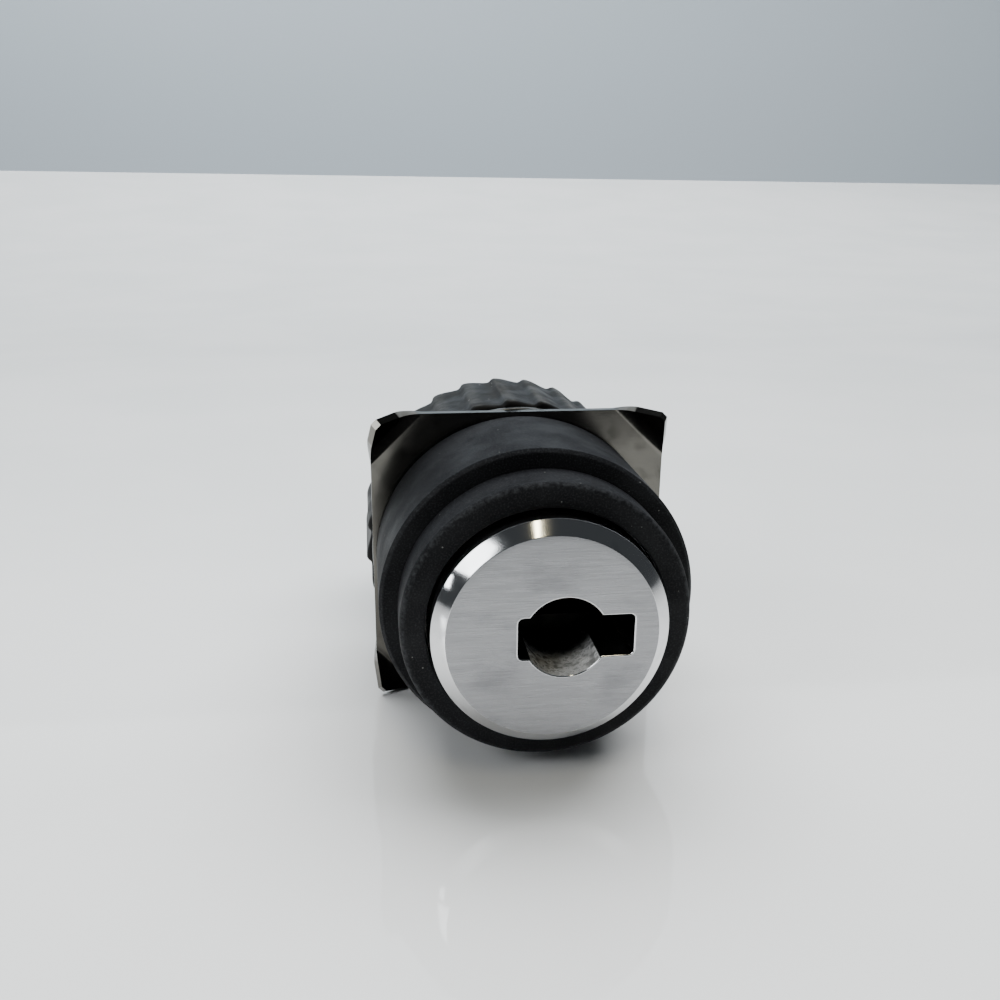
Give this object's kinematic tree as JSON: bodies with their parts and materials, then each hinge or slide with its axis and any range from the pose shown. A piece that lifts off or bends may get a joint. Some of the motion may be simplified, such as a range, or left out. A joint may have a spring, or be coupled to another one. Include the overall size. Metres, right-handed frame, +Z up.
{
  "type": "key selector switch",
  "caption": "Panel-mount key selector switch: round stepped bezel with a chromed key lock, square clamping plate, fluted ring nut and a compact contact block.",
  "frame": {"origin": "on the bezel's axis, in the plane of the collar's back, which seats on the panel's front", "axes": "+Y along the axis towards the contact block, so the lock faces -Y; +Z up; +X to the right of a person facing the lock"},
  "size_m": [0.0308, 0.0623, 0.0308],
  "materials": {
    "black_plastic": "fine-grained matte black moulding",
    "chrome": "polished bevel, satin-brushed face",
    "zinc": "as-cast zinc",
    "brass": "machined",
    "sheet_steel": "bright nickel-plated sheet",
    "spring_steel": "drawn wire and strip",
    "rubber": "black nitrile",
    "white_plastic": "natural acetal",
    "grey_plastic": "dark grey glass-filled moulding, dusty",
    "silver": "silver-faced contact strip",
    "tinned_brass": "tinned strip",
    "screw_steel": "zinc-plated"
  },
  "bodies": {
    "housing": {"bezel_body": "black_plastic", "guard_ring": "black_plastic", "panel_gasket": "rubber", "lock_cap": "chrome", "face_seal": "rubber", "lock_barrel": "zinc", "index_spring": "spring_steel", "block_housing": "grey_plastic", "block_cover": "grey_plastic", "return_spring_nc": "spring_steel", "return_spring_no": "spring_steel", "contact_nc_upper": "tinned_brass", "contact_nc_lower": "tinned_brass", "contact_no_upper": "tinned_brass", "contact_no_lower": "tinned_brass", "cover_screw_left": "screw_steel", "cover_screw_right": "screw_steel", "grub_screw_left": "screw_steel", "grub_screw_right": "screw_steel"},
    "rotor": {"lock_rotor": "brass", "rotor_clip": "spring_steel", "drive_cam": "white_plastic", "wafer_spring_1": "spring_steel", "wafer_spring_2": "spring_steel", "wafer_spring_3": "spring_steel", "wafer_spring_4": "spring_steel"},
    "wafer_1_slide": {"wafer_1": "brass"},
    "wafer_2_slide": {"wafer_2": "brass"},
    "wafer_3_slide": {"wafer_3": "brass"},
    "wafer_4_slide": {"wafer_4": "brass"},
    "nc_follower": {"plunger_nc": "white_plastic", "bridge_nc": "silver"},
    "no_follower": {"plunger_no": "white_plastic", "bridge_no": "silver"},
    "clamp": {"square_plate": "sheet_steel", "lock_washer": "sheet_steel"},
    "nut": {"ring_nut": "grey_plastic"}
  },
  "joints": [
    {"name": "key_turn", "type": "hinge", "parent": "housing", "child": "rotor", "pos_m": [0.0011, 0, 0], "axis": [0, 1, 0], "range_deg": [0, 90], "deforming": ["index_spring"]},
    {"name": "wafer_1", "type": "slide", "parent": "rotor", "child": "wafer_1_slide", "axis": [1, 0, 0], "range_m": [0, 0.0008], "deforming": ["wafer_spring_1"]},
    {"name": "wafer_2", "type": "slide", "parent": "rotor", "child": "wafer_2_slide", "axis": [1, 0, 0], "range_m": [0, 0.0008], "deforming": ["wafer_spring_2"]},
    {"name": "wafer_3", "type": "slide", "parent": "rotor", "child": "wafer_3_slide", "axis": [1, 0, 0], "range_m": [0, 0.0008], "deforming": ["wafer_spring_3"]},
    {"name": "wafer_4", "type": "slide", "parent": "rotor", "child": "wafer_4_slide", "axis": [1, 0, 0], "range_m": [0, 0.0008], "deforming": ["wafer_spring_4"]},
    {"name": "plunger_nc", "type": "slide", "parent": "housing", "child": "nc_follower", "axis": [0, 1, 0], "range_m": [0, 0.0024], "deforming": ["return_spring_nc"]},
    {"name": "plunger_no", "type": "slide", "parent": "housing", "child": "no_follower", "axis": [0, 1, 0], "range_m": [0, 0.0024], "deforming": ["return_spring_no"]},
    {"name": "clamp_travel", "type": "slide", "parent": "housing", "child": "clamp", "axis": [0, 1, 0], "range_m": [0, 0.006]},
    {"name": "nut_turn", "type": "hinge", "parent": "clamp", "child": "nut", "pos_m": [0, 0, 0], "axis": [0, 1, 0], "range_deg": [0, 1440]}
  ],
  "couplings": [
    {"joint": "plunger_nc", "follows": "key_turn", "m_per_rad": 0.0015278},
    {"joint": "plunger_no", "follows": "key_turn", "m_per_rad": 0.0015278},
    {"joint": "wafer_2", "follows": "wafer_1", "ratio": 1},
    {"joint": "wafer_3", "follows": "wafer_1", "ratio": 1},
    {"joint": "wafer_4", "follows": "wafer_1", "ratio": 1},
    {"joint": "nut_turn", "follows": "clamp_travel", "rad_per_m": 4188.8}
  ]
}
